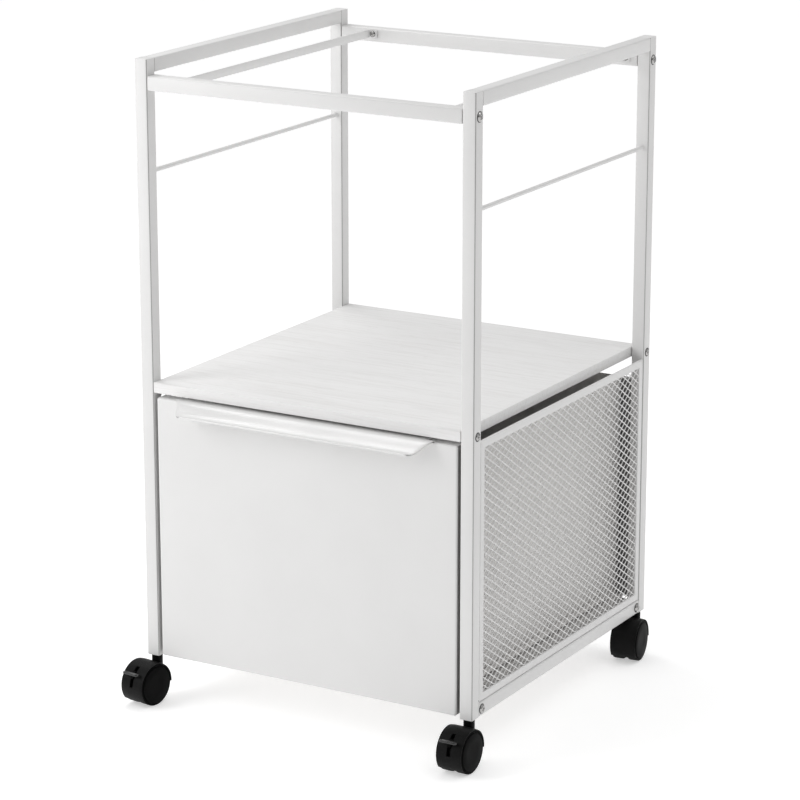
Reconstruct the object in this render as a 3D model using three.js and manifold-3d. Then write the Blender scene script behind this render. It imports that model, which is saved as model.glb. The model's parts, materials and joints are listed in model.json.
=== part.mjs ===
// Rolling file cabinet: two welded steel side frames joined by crossbars, a shelf board, one deep
// file drawer on roller runners behind expanded-metal side panels, and four twin-wheel casters.
// Millimetres, +Z up, the front faces -Y. The group's origin is the bottom centre of its box.
import * as THREE from 'three';
import Module from 'manifold-3d';
import { mergeVertices } from 'three/addons/utils/BufferGeometryUtils.js';

const wasm = await Module();
wasm.setup();

// ---------------------------------------------------------------- driving dimensions
const WIDTH = 420;
const DEPTH = 420;
const FRAME_HEIGHT = 680;
const TUBE = 16;
const TUBE_WALL = 1.2;
const TUBE_CORNER = 1.6;
const CASTER_HEIGHT = 54;
// the gap kept between pieces that lie against each other
const SEAM = 0.3;

const GUARD_ROD = { diameter: 5, above: 554.5 };
const CROSSBAR = { top: 662, endPlate: 2, gap: 0.5, screwHole: 5.6 };
const FILE_RAIL = { spacing: 330, offset: 9.5, thick: 2.5, height: 9.5, below: 1.5, tab: 11, tabThick: 2 };
const SHELF = { top: 321, thick: 12 };
const PANEL = { top: 308, border: 8.5, edge: 3, infill: 0.5, gap: 0.7, inset: 0.6 };
const REAR_PANEL = { top: 281, sheet: 1, flange: 10, inset: 2, gap: 0.5 };
const LOWER_BAR = { depth: 10, gap: 0.4 };

const DRAWER = {
  bottom: 2, top: 304, sideGap: 4, frontThick: 15, sheet: 1, edge: 2,
  boxLength: 387, boxWidth: 363, boxFloor: 19, boxTop: 287, rim: 8,
};
const PULL = {
  rootHalf: 163, lipHalf: 146, reach: 26, drop: 11, thick: 2, flange: 11, lift: 0.05, corner: 6,
};
const RUNNER = {
  sheet: 1.2, length: 366, low: 2, high: 24, lip: 30, reach: 9.5, cutaway: 33, clear: 2, margin: 3,
  memberRear: 155,
};
const ROLLER = {
  front: 8.3, rear: 9.3, width: 6, offset: 0.5, bore: 2.3, pin: 2, play: 0.1, hub: 0.2, edge: 1,
};

const WHEEL = {
  radius: 24, face: 22.4, width: 12.6, inner: 3.2, bore: 2.2, boreDepth: 9, rim: 2.4, dish: 0.8,
};
const HOOD = { outer: 25.7, inner: 24.6, halfWidth: 15.4, from: -38, to: 184, trail: 19 };
const WEB = { half: 2.4, inset: 0.2, heelAngle: -120, heelRadius: 12 };
const STEM = { radius: 4, neck: 6.2, neckFoot: 6, seat: 43.4, inPost: 26, play: 0.2, gap: 0.5 };
const SOCKET = { side: 13.2, length: 30 };
const LEVER = { angle: 35, sweep: 14, rise: 1.6, depth: 3.4, thick: 2.6, width: 21, out: 7.5, corner: 2 };
const GROOVE = { width: 4.6, from: 10, to: 62, depth: 6, play: 0.4 };
// how far each caster has swivelled about its stem, in degrees
const CASTER_YAW = { front_left: -8, front_right: -1, rear_left: 4, rear_right: 7 };

const FINE = 32;
const COARSE = 16;
const CORNER_STEPS = 2;
const HOOD_STEPS = 22;
const GROOVE_STEPS = 6;
const PULL_STEPS = 12;
// how far a cutting solid reaches past the face it cuts
const OVERCUT = 1;

// ---------------------------------------------------------------- materials
function paint(color, roughness, metalness) {
  return new THREE.MeshStandardMaterial({ color, roughness, metalness });
}

const whiteCoat = paint(0xe9e8e4, 0.45, 0.1);
const whiteBoard = paint(0xe6e4df, 0.55, 0);
const zincSteel = paint(0xb4b6b8, 0.35, 0.9);
const blackPlastic = paint(0x1b1b1c, 0.5, 0);
const blackNylon = paint(0x2a2a2b, 0.45, 0);

// ---------------------------------------------------------------- solids
function solid(geometry) {
  const plain = geometry.clone();
  plain.deleteAttribute('normal');
  plain.deleteAttribute('uv');
  const merged = mergeVertices(plain, 1e-4);
  return new wasm.Manifold(new wasm.Mesh({
    numProp: 3,
    vertProperties: new Float32Array(merged.attributes.position.array),
    triVerts: new Uint32Array(merged.index.array),
  }));
}

function shaped(manifold) {
  const mesh = manifold.getMesh();
  const geometry = new THREE.BufferGeometry();
  geometry.setAttribute('position', new THREE.BufferAttribute(new Float32Array(mesh.vertProperties), 3));
  geometry.setIndex(new THREE.BufferAttribute(new Uint32Array(mesh.triVerts), 1));
  geometry.computeVertexNormals();
  return geometry;
}

// a box from its low and high corners
function box(low, high) {
  const size = high.map((value, i) => value - low[i]);
  const geometry = new THREE.BoxGeometry(...size);
  return geometry.translate(...low.map((value, i) => value + size[i] / 2));
}

// a cylinder centred on the origin, along x, y or z
function cylinder(radius, length, axis, segments = COARSE) {
  const geometry = new THREE.CylinderGeometry(radius, radius, length, segments);
  if (axis === 'x') geometry.rotateZ(-Math.PI / 2);
  if (axis === 'z') geometry.rotateX(Math.PI / 2);
  return geometry;
}

function roundedRectangle(width, height, radius, Outline = THREE.Shape) {
  const outline = new Outline();
  const x = width / 2;
  const y = height / 2;
  outline.moveTo(-x + radius, -y);
  outline.lineTo(x - radius, -y);
  outline.absarc(x - radius, -y + radius, radius, -Math.PI / 2, 0, false);
  outline.lineTo(x, y - radius);
  outline.absarc(x - radius, y - radius, radius, 0, Math.PI / 2, false);
  outline.lineTo(-x + radius, y);
  outline.absarc(-x + radius, y - radius, radius, Math.PI / 2, Math.PI, false);
  outline.lineTo(-x, -y + radius);
  outline.absarc(-x + radius, -y + radius, radius, Math.PI, Math.PI * 1.5, false);
  return outline;
}

// a prism centred on the origin, its outline swept along x, y or z
function prism(outline, length, axis, curveSegments = CORNER_STEPS) {
  const geometry = new THREE.ExtrudeGeometry(outline, { depth: length, bevelEnabled: false, curveSegments });
  geometry.translate(0, 0, -length / 2);
  if (axis === 'x') geometry.rotateY(Math.PI / 2);
  if (axis === 'y') geometry.rotateX(-Math.PI / 2);
  return geometry;
}

function bar(width, height, length, axis) {
  return prism(roundedRectangle(width, height, TUBE_CORNER), length, axis);
}

// an open-ended tube with rounded corners
function tube(width, height, length, axis) {
  const outline = roundedRectangle(width, height, TUBE_CORNER);
  const inside = TUBE_CORNER - TUBE_WALL;
  outline.holes.push(roundedRectangle(width - 2 * TUBE_WALL, height - 2 * TUBE_WALL, inside, THREE.Path));
  return prism(outline, length, axis);
}

const cabinet = new THREE.Group();

function place(name, geometry, material, position = [0, 0, 0], parent = cabinet) {
  const mesh = new THREE.Mesh(geometry, material);
  mesh.name = name;
  mesh.position.set(...position);
  parent.add(mesh);
  return mesh;
}

const SIDES = { left: -1, right: 1 };
const ENDS = { front: -1, rear: 1 };
const eachSide = (make) => Object.entries(SIDES).forEach(([name, sign]) => make(name, sign));
const eachEnd = (make) => Object.entries(ENDS).forEach(([name, sign]) => make(name, sign));

const frameTop = CASTER_HEIGHT + FRAME_HEIGHT;
const postX = (WIDTH - TUBE) / 2;
const postY = (DEPTH - TUBE) / 2;
const innerX = WIDTH / 2 - TUBE;
const innerY = DEPTH / 2 - TUBE;
const above = (height) => CASTER_HEIGHT + height;
const crossbarZ = above(CROSSBAR.top) - TUBE / 2;

// ---------------------------------------------------------------- side frames
// a post closed at the top, open at the foot for the caster socket, drilled for the crossbar screw
function postGeometry() {
  const inside = TUBE - 2 * TUBE_WALL;
  const outer = solid(bar(TUBE, TUBE, FRAME_HEIGHT, 'z'));
  const bore = solid(bar(inside, inside, FRAME_HEIGHT, 'z').translate(0, 0, -TUBE_WALL));
  const screwHole = cylinder(CROSSBAR.screwHole / 2, 2 * TUBE, 'x', COARSE);
  screwHole.translate(0, 0, crossbarZ - frameTop + FRAME_HEIGHT / 2);
  return shaped(outer.subtract(bore).subtract(solid(screwHole)));
}

eachSide((side, sx) => {
  eachEnd((end, sy) => {
    const centre = [sx * postX, sy * postY, above(FRAME_HEIGHT / 2)];
    place(`${side}_${end}_post`, postGeometry(), whiteCoat, centre);
  });
  const rail = tube(TUBE, TUBE, 2 * innerY, 'y');
  place(`${side}_top_rail`, rail, whiteCoat, [sx * postX, 0, frameTop - TUBE / 2]);
  place(`${side}_bottom_rail`, rail.clone(), whiteCoat, [sx * postX, 0, above(TUBE / 2)]);
  const rod = cylinder(GUARD_ROD.diameter / 2, 2 * innerY, 'y', COARSE);
  place(`${side}_guard_rod`, rod, whiteCoat, [sx * postX, 0, above(GUARD_ROD.above)]);
});

// ---------------------------------------------------------------- crossbars
// a tube along x with end plates that take the screws driven through the posts
function crossbarGeometry(depth, length) {
  const outer = solid(bar(TUBE, depth, length, 'x'));
  const hollow = bar(TUBE - 2 * TUBE_WALL, depth - 2 * TUBE_WALL, length - 2 * CROSSBAR.endPlate, 'x');
  const holes = cylinder(CROSSBAR.screwHole / 2, length + TUBE, 'x', COARSE);
  return shaped(outer.subtract(solid(hollow)).subtract(solid(holes)));
}

eachEnd((end, sy) => {
  const upper = crossbarGeometry(TUBE, 2 * (innerX - CROSSBAR.gap));
  place(`${end}_crossbar`, upper, whiteCoat, [0, sy * postY, crossbarZ]);
  const lower = crossbarGeometry(LOWER_BAR.depth, 2 * (innerX - LOWER_BAR.gap));
  const y = sy * (innerY - LOWER_BAR.gap - LOWER_BAR.depth / 2);
  place(`lower_${end}_crossbar`, lower, whiteCoat, [0, y, above(TUBE / 2)]);
});

// ---------------------------------------------------------------- hanging-file rails
// a flat bar on edge with a bent tab at each end that lies against the crossbar
function fileRailGeometry() {
  const reach = innerY - CROSSBAR.gap;
  const half = FILE_RAIL.thick / 2;
  let rail = solid(box([-half, -reach, -FILE_RAIL.height], [half, reach, 0]));
  eachEnd((end, sy) => {
    const inner = sy * (reach - FILE_RAIL.tabThick);
    const outer = sy * reach;
    const low = [-half, Math.min(inner, outer), -FILE_RAIL.height];
    const high = [FILE_RAIL.tab, Math.max(inner, outer), 0];
    rail = rail.add(solid(box(low, high)));
  });
  return shaped(rail);
}

eachSide((side, sx) => {
  const x = FILE_RAIL.offset + (sx * FILE_RAIL.spacing) / 2;
  const z = above(CROSSBAR.top - FILE_RAIL.below);
  place(`${side}_file_rail`, fileRailGeometry(), whiteCoat, [x, 0, z]);
});

// ---------------------------------------------------------------- shelf board
const shelfHalf = innerX - SEAM;
const shelfBox = box(
  [-shelfHalf, -DEPTH / 2, above(SHELF.top - SHELF.thick)],
  [shelfHalf, DEPTH / 2, above(SHELF.top)],
);
place('shelf_board', shelfBox, whiteBoard);

// ---------------------------------------------------------------- side and rear panels
// a bordered panel in the frame's lower bay; its thin infill stands for the expanded metal
const panelHeight = PANEL.top - TUBE - PANEL.gap;
const panelLength = 2 * (innerY - PANEL.gap);

function panelGeometry() {
  const border = roundedRectangle(panelHeight, panelLength, PANEL.gap);
  const openingHeight = panelHeight - 2 * PANEL.border;
  const openingLength = panelLength - 2 * PANEL.border;
  border.holes.push(roundedRectangle(openingHeight, openingLength, PANEL.gap, THREE.Path));
  const frame = solid(prism(border, PANEL.edge, 'x'));
  const overlap = PANEL.border / 2;
  const sheet = [PANEL.infill, openingLength + overlap, openingHeight + overlap];
  return shaped(frame.add(solid(new THREE.BoxGeometry(...sheet))));
}

eachSide((side, sx) => {
  const x = sx * (WIDTH / 2 - PANEL.inset - PANEL.edge / 2);
  place(`${side}_mesh_panel`, panelGeometry(), whiteCoat, [x, 0, above(PANEL.top - panelHeight / 2)]);
});

function rearPanelGeometry() {
  const halfWidth = innerX - REAR_PANEL.gap;
  const back = DEPTH / 2 - REAR_PANEL.inset;
  const low = above(TUBE + REAR_PANEL.gap);
  const high = above(REAR_PANEL.top);
  const sheet = REAR_PANEL.sheet;
  const outer = box([-halfWidth, back - REAR_PANEL.flange, low], [halfWidth, back, high]);
  const inner = box(
    [-halfWidth + sheet, back - 2 * REAR_PANEL.flange, low + sheet],
    [halfWidth - sheet, back - sheet, high - sheet],
  );
  return shaped(solid(outer).subtract(solid(inner)));
}

place('rear_panel', rearPanelGeometry(), whiteCoat);

// ---------------------------------------------------------------- drawer
const drawerFrontY = -DEPTH / 2;
const boxFrontY = drawerFrontY + DRAWER.frontThick + SEAM;
const boxRearY = boxFrontY + DRAWER.boxLength;

// a folded steel pan, its front edges rounded, open towards the drawer box
function drawerFrontGeometry() {
  const width = WIDTH - 2 * TUBE - 2 * DRAWER.sideGap;
  const height = DRAWER.top - DRAWER.bottom;
  const edge = DRAWER.edge;
  const face = roundedRectangle(width - 2 * edge, height - 2 * edge, edge);
  const cushion = new THREE.ExtrudeGeometry(face, {
    depth: 2 * DRAWER.frontThick,
    bevelSize: edge,
    bevelThickness: edge,
    bevelSegments: CORNER_STEPS,
    curveSegments: CORNER_STEPS,
  });
  // the bevelled near face looks along -Y once the sweep runs towards +Y
  cushion.rotateX(Math.PI / 2).rotateZ(Math.PI);
  cushion.translate(0, drawerFrontY + edge, 0);
  const middle = above((DRAWER.top + DRAWER.bottom) / 2);
  cushion.translate(0, 0, middle);
  const back = drawerFrontY + DRAWER.frontThick;
  const slab = box([-WIDTH, drawerFrontY - OVERCUT, 0], [WIDTH, back, frameTop]);
  const skin = DRAWER.sheet;
  const inside = box(
    [-width / 2 + skin, drawerFrontY + skin, above(DRAWER.bottom) + skin],
    [width / 2 - skin, back + OVERCUT, above(DRAWER.top) - skin],
  );
  return shaped(solid(cushion).intersect(solid(slab)).subtract(solid(inside)));
}

place('drawer_front', drawerFrontGeometry(), whiteCoat);

// floor, inner front and back wall bent from one sheet
function drawerTrayGeometry() {
  const sheet = DRAWER.sheet;
  const half = DRAWER.boxWidth / 2 - sheet - SEAM;
  const low = above(DRAWER.boxFloor);
  const high = above(DRAWER.boxTop) - sheet - SEAM;
  const outer = box([-half, boxFrontY, low], [half, boxRearY, high]);
  const inner = box(
    [-half - OVERCUT, boxFrontY + sheet, low + sheet],
    [half + OVERCUT, boxRearY - sheet, high + OVERCUT],
  );
  return shaped(solid(outer).subtract(solid(inner)));
}

place('drawer_tray', drawerTrayGeometry(), whiteCoat);

eachSide((side, sx) => {
  const outer = (sx * DRAWER.boxWidth) / 2;
  const inner = outer - sx * DRAWER.sheet;
  const rim = outer - sx * DRAWER.rim;
  const low = above(DRAWER.boxFloor) - DRAWER.sheet;
  const high = above(DRAWER.boxTop);
  const wall = box([Math.min(inner, outer), boxFrontY, low], [Math.max(inner, outer), boxRearY, high]);
  const edge = box(
    [Math.min(rim, outer), boxFrontY, high - DRAWER.sheet],
    [Math.max(rim, outer), boxRearY, high],
  );
  place(`drawer_${side}_side`, shaped(solid(wall).add(solid(edge))), whiteCoat);
});

// a bent lip: flat on the front's top edge, sweeping out and down in an S, narrowing to the lip
function pullGeometry() {
  const profile = new THREE.Shape();
  profile.moveTo(PULL.flange, 0);
  profile.lineTo(PULL.flange, PULL.thick);
  const sweep = (share) => (PULL.drop * (1 - Math.cos(Math.PI * share))) / 2;
  for (let i = 0; i <= PULL_STEPS; i += 1) {
    profile.lineTo((-PULL.reach * i) / PULL_STEPS, PULL.thick - sweep(i / PULL_STEPS));
  }
  for (let i = PULL_STEPS; i >= 0; i -= 1) {
    profile.lineTo((-PULL.reach * i) / PULL_STEPS, -sweep(i / PULL_STEPS));
  }
  // the sweep's plane is Y-Z, and its length runs along X
  const strip = new THREE.ExtrudeGeometry(profile, { depth: 2 * PULL.rootHalf, bevelEnabled: false });
  strip.translate(0, 0, -PULL.rootHalf).rotateX(Math.PI / 2).rotateZ(Math.PI / 2);

  // seen from above: straight at the root, drawn in along a curve to a lip with cut corners
  const plan = new THREE.Shape();
  const back = PULL.flange + OVERCUT;
  const lip = -PULL.reach;
  const waist = PULL.lipHalf + PULL.corner / 2;
  plan.moveTo(-PULL.rootHalf, back);
  plan.lineTo(-PULL.rootHalf, 0);
  plan.quadraticCurveTo(-waist, lip / 2, -PULL.lipHalf, lip + 1);
  plan.lineTo(-PULL.lipHalf + PULL.corner, lip);
  plan.lineTo(PULL.lipHalf - PULL.corner, lip);
  plan.lineTo(PULL.lipHalf, lip + 1);
  plan.quadraticCurveTo(waist, lip / 2, PULL.rootHalf, 0);
  plan.lineTo(PULL.rootHalf, back);
  const cutter = prism(plan, 4 * PULL.drop, 'z', GROOVE_STEPS);
  return shaped(solid(strip).intersect(solid(cutter)));
}

place('drawer_pull', pullGeometry(), whiteCoat, [0, drawerFrontY, above(DRAWER.top) + PULL.lift]);

// ---------------------------------------------------------------- roller runners
const boxSide = DRAWER.boxWidth / 2;
const memberX = boxSide + SEAM;
const rollerX = (boxSide + innerX) / 2 + ROLLER.offset;
const trackLow = above(RUNNER.low) + RUNNER.sheet;
const rearRollerZ = trackLow + ROLLER.play + ROLLER.rear;
const lipUnder = above(RUNNER.lip) - RUNNER.sheet;
const frontRollerZ = lipUnder - ROLLER.play - ROLLER.front;
const runnerHalf = RUNNER.length / 2;
const frontRollerY = -runnerHalf + ROLLER.front + RUNNER.margin;
const rearRollerY = RUNNER.memberRear - ROLLER.rear - RUNNER.margin;

// mirrored boxes: x runs from the cabinet's middle outwards on either side
function sideBox(sx, low, high) {
  const xs = [sx * low[0], sx * high[0]].sort((a, b) => a - b);
  return box([xs[0], low[1], low[2]], [xs[1], high[1], high[2]]);
}

function sidePin(sx, from, to, y, z) {
  const pin = cylinder(ROLLER.pin, Math.abs(to - from), 'x', COARSE);
  return pin.translate((sx * (from + to)) / 2, y, z);
}

function cabinetRunnerGeometry(sx) {
  const outer = innerX;
  const open = outer - RUNNER.reach;
  const low = above(RUNNER.low);
  const high = above(RUNNER.high);
  const sheet = RUNNER.sheet;
  const keeperStart = -runnerHalf + RUNNER.cutaway;
  const web = solid(sideBox(sx, [outer - sheet, -runnerHalf, low], [outer, runnerHalf, high]));
  const track = solid(sideBox(sx, [open, -runnerHalf, low], [outer, runnerHalf, low + sheet]));
  const keeper = solid(sideBox(sx, [open, keeperStart, high - sheet], [outer, runnerHalf, high]));
  const pin = solid(sidePin(sx, rollerX - ROLLER.width / 2, outer - sheet / 2, frontRollerY, frontRollerZ));
  return shaped(web.add(track).add(keeper).add(pin));
}

function drawerRunnerGeometry(sx) {
  const sheet = RUNNER.sheet;
  const start = boxFrontY + RUNNER.clear;
  const top = above(RUNNER.lip);
  const low = above(TUBE + RUNNER.clear);
  const hangerLow = rearRollerZ - ROLLER.pin - RUNNER.margin;
  const rear = RUNNER.memberRear;
  const hangerStart = rear - 2 * ROLLER.rear;
  const lipEdge = rollerX + ROLLER.width / 2;
  const web = solid(sideBox(sx, [memberX, start, low], [memberX + sheet, rear, top]));
  const hanger = solid(sideBox(sx, [memberX, hangerStart, hangerLow], [memberX + sheet, rear, top]));
  const lip = solid(sideBox(sx, [memberX, start, top - sheet], [lipEdge, rear, top]));
  const pin = solid(sidePin(sx, memberX + sheet / 2, rollerX + ROLLER.width / 2, rearRollerY, rearRollerZ));
  return shaped(web.add(hanger).add(lip).add(pin));
}

// a roller with a crowned rim and a through bore, along x
function rollerGeometry(radius) {
  const half = ROLLER.width / 2;
  const face = half - ROLLER.hub;
  const shoulder = half - ROLLER.edge;
  const rim = radius - ROLLER.edge;
  const profile = [
    [ROLLER.bore, -face], [rim, -face], [radius, -shoulder],
    [radius, shoulder], [rim, face], [ROLLER.bore, face], [ROLLER.bore, -face],
  ].map(([r, h]) => new THREE.Vector2(r, h));
  return new THREE.LatheGeometry(profile, FINE).rotateZ(-Math.PI / 2);
}

eachSide((side, sx) => {
  place(`${side}_cabinet_runner`, cabinetRunnerGeometry(sx), whiteCoat);
  place(`${side}_drawer_runner`, drawerRunnerGeometry(sx), whiteCoat);
  const x = sx * rollerX;
  place(`${side}_front_roller`, rollerGeometry(ROLLER.front), blackNylon, [x, frontRollerY, frontRollerZ]);
  place(`${side}_rear_roller`, rollerGeometry(ROLLER.rear), blackNylon, [x, rearRollerY, rearRollerZ]);
});

// ---------------------------------------------------------------- casters
const axleY = -HOOD.trail;
const axleZ = WHEEL.radius;

// a point at an angle above the forward horizontal, measured round the axle, as (y, z)
function round(angle, radius) {
  const a = THREE.MathUtils.degToRad(angle);
  return new THREE.Vector2(axleY - radius * Math.cos(a), axleZ + radius * Math.sin(a));
}

// an outline in the Y-Z plane swept along X and centred on it
function sideProfile(points, width) {
  const geometry = new THREE.ExtrudeGeometry(new THREE.Shape(points), { depth: width, bevelEnabled: false });
  return geometry.translate(0, 0, -width / 2).rotateX(Math.PI / 2).rotateZ(Math.PI / 2);
}

function arc(radius, from, to, steps) {
  return Array.from({ length: steps + 1 }, (_, i) => round(from + ((to - from) * i) / steps, radius));
}

// hood over both wheels, a web between them, and the neck that holds the stem
function housingGeometry(braked) {
  const outside = arc(HOOD.outer, HOOD.from, HOOD.to, HOOD_STEPS);
  const inside = arc(HOOD.inner, HOOD.to, HOOD.from, HOOD_STEPS);
  const hood = solid(sideProfile([...outside, ...inside], 2 * HOOD.halfWidth));
  const rim = arc(HOOD.outer - WEB.inset, HOOD.from, HOOD.to, HOOD_STEPS);
  const heel = round(WEB.heelAngle, WEB.heelRadius);
  const web = solid(sideProfile([...rim, heel], 2 * WEB.half));
  const neckTop = CASTER_HEIGHT - STEM.gap;
  const neckLow = axleZ + STEM.neckFoot;
  const neck = cylinder(STEM.neck, neckTop - neckLow, 'z', COARSE).translate(0, 0, (neckTop + neckLow) / 2);
  const bore = cylinder(STEM.radius + STEM.play / 2, neckTop, 'z', COARSE);
  bore.translate(0, 0, STEM.seat + neckTop / 2);
  const axleHole = cylinder(WHEEL.bore, 4 * WEB.half, 'x', COARSE).translate(0, axleY, axleZ);
  // room for both wheels on either side of the web
  const well = cylinder(HOOD.inner, HOOD.halfWidth, 'x', FINE);
  const shift = WEB.half + HOOD.halfWidth / 2;
  const wells = [-shift, shift].map((x) => solid(well.clone().translate(x, axleY, axleZ)));
  let housing = solid(neck).subtract(wells[0]).subtract(wells[1]).add(web).add(hood);
  housing = housing.subtract(solid(bore)).subtract(solid(axleHole));
  if (braked) {
    const groove = [
      ...arc(HOOD.outer + OVERCUT, GROOVE.from, GROOVE.to, GROOVE_STEPS),
      ...arc(HOOD.outer - GROOVE.depth, GROOVE.to, GROOVE.from, GROOVE_STEPS),
    ];
    housing = housing.subtract(solid(sideProfile(groove, GROOVE.width)));
  }
  return shaped(housing);
}

// a wheel with a rounded tread and a recessed outer face; its inner face is at 0 and it grows along +x
function wheelGeometry() {
  const { radius, face, width, bore, boreDepth, rim, dish } = WHEEL;
  const chamfer = radius - face;
  const disc = face - rim;
  const profile = [
    [0, boreDepth], [bore, boreDepth], [bore, 0], [face, 0], [radius, chamfer],
    [radius, width - rim], [face, width], [face - chamfer, width], [disc, width - dish], [0, width - dish],
  ].map(([r, h]) => new THREE.Vector2(r, h));
  return new THREE.LatheGeometry(profile, FINE).rotateZ(-Math.PI / 2);
}

// a rocker in the hood's groove with a wide toe tab that slopes down towards the floor
function leverGeometry() {
  const low = LEVER.angle - LEVER.sweep;
  const high = LEVER.angle + LEVER.sweep;
  const rocker = solid(sideProfile([
    ...arc(HOOD.outer + LEVER.rise, low, high, GROOVE_STEPS),
    ...arc(HOOD.outer - LEVER.depth, high, low, GROOVE_STEPS),
  ], GROOVE.width - 2 * GROOVE.play));
  const tab = prism(roundedRectangle(LEVER.width, LEVER.out, LEVER.corner), LEVER.thick, 'z');
  const centre = round(LEVER.angle, HOOD.outer + (LEVER.rise + LEVER.out) / 2);
  tab.rotateX(-THREE.MathUtils.degToRad(LEVER.angle) / 3).translate(0, centre.x, centre.y);
  return shaped(rocker.add(solid(tab)));
}

eachSide((side, sx) => {
  eachEnd((end, sy) => {
    const corner = `${end}_${side}`;
    const braked = end === 'front';
    const caster = new THREE.Group();
    caster.position.set(sx * postX, sy * postY, 0);
    caster.rotation.z = THREE.MathUtils.degToRad(CASTER_YAW[corner]);
    cabinet.add(caster);

    place(`${corner}_caster_housing`, housingGeometry(braked), blackPlastic, [0, 0, 0], caster);
    const stemTop = CASTER_HEIGHT + STEM.inPost;
    const stemLow = STEM.seat + STEM.play;
    const stem = cylinder(STEM.radius, stemTop - stemLow, 'z', COARSE);
    place(`${corner}_caster_stem`, stem, zincSteel, [0, 0, (stemTop + stemLow) / 2], caster);
    const axle = cylinder(WHEEL.bore - 0.2, 2 * (WHEEL.inner + WHEEL.boreDepth - 1), 'x', COARSE);
    place(`${corner}_caster_axle`, axle, zincSteel, [0, axleY, axleZ], caster);
    eachSide((wheelSide, direction) => {
      const wheel = wheelGeometry();
      if (direction < 0) wheel.rotateZ(Math.PI);
      const position = [direction * WHEEL.inner, axleY, axleZ];
      place(`${corner}_wheel_${wheelSide}`, wheel, blackPlastic, position, caster);
    });
    if (braked) place(`${corner}_brake_lever`, leverGeometry(), blackPlastic, [0, 0, 0], caster);

    const plug = solid(bar(SOCKET.side, SOCKET.side, SOCKET.length, 'z'));
    const socketBore = solid(cylinder(STEM.radius + STEM.play, 2 * SOCKET.length, 'z', COARSE));
    const socketZ = above(SOCKET.length / 2);
    const socketPosition = [sx * postX, sy * postY, socketZ];
    place(`${corner}_caster_socket`, shaped(plug.subtract(socketBore)), blackPlastic, socketPosition);
  });
});

// ---------------------------------------------------------------- origin at the box's bottom centre
cabinet.updateMatrixWorld(true);
const extent = new THREE.Box3().setFromObject(cabinet, true);
const centre = extent.getCenter(new THREE.Vector3());
cabinet.position.set(-centre.x, -centre.y, -extent.min.z);

export default cabinet;
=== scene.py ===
"""Looks for the rolling file cabinet: powder-coated tube frame, wood-grain shelf, expanded-metal
sides, one deep drawer and four twin-wheel casters. Metres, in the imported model's own frame."""
import json
import math

import bmesh
import bpy
from mathutils import Matrix, Vector


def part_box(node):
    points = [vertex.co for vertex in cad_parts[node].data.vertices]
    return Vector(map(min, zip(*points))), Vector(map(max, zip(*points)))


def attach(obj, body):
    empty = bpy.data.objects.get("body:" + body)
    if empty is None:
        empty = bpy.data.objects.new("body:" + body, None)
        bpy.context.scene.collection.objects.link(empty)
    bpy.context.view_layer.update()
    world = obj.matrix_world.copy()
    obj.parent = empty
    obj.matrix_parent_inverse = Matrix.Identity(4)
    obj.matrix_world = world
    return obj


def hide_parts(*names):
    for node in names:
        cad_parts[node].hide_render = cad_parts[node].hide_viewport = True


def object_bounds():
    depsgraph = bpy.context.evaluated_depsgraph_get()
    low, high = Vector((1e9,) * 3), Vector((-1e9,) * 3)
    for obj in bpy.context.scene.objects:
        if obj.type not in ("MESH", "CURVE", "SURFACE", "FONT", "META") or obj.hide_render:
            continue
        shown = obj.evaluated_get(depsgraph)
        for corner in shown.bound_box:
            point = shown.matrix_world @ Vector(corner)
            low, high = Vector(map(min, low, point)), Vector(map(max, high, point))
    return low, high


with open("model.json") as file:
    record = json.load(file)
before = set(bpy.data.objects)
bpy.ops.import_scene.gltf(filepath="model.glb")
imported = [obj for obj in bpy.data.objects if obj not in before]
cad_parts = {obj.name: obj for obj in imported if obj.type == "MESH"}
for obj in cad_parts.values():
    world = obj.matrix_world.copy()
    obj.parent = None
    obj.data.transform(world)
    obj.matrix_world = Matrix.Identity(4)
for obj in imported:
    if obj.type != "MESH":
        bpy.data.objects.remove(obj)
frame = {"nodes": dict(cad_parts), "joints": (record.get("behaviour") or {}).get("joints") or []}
cad_low, cad_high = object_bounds()

MM = 0.001
SIDES = {"left": -1, "right": 1}
ENDS = {"front": -1, "rear": 1}
CORNERS = [f"{end}_{side}" for side in SIDES for end in ENDS]


# ---------------------------------------------------------------- camera
VIEW_AZIMUTH = math.radians(30.16)
VIEW_ELEVATION = math.radians(15.62)
VIEW_DISTANCE = 3.576
VIEW_OFFSET = Vector((0.012, -0.002, -0.029))
LENS = 143.1
SENSOR = 36.0


def aim(azimuth, elevation):
    """Unit vector from the object towards a viewer at that azimuth and elevation."""
    flat = math.cos(elevation)
    return Vector((math.sin(azimuth) * flat, -math.cos(azimuth) * flat, math.sin(elevation)))


def make_camera():
    data = bpy.data.cameras.new("camera")
    data.lens = LENS
    data.sensor_width = SENSOR
    camera = bpy.data.objects.new("camera", data)
    bpy.context.scene.collection.objects.link(camera)
    back = aim(VIEW_AZIMUTH, VIEW_ELEVATION)
    target = (cad_low + cad_high) / 2 + VIEW_OFFSET
    camera.location = target + back * VIEW_DISTANCE
    camera.rotation_mode = "QUATERNION"
    camera.rotation_quaternion = (-back).to_track_quat("-Z", "Y")
    data.clip_end = 60
    bpy.context.scene.camera = camera


make_camera()


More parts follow.
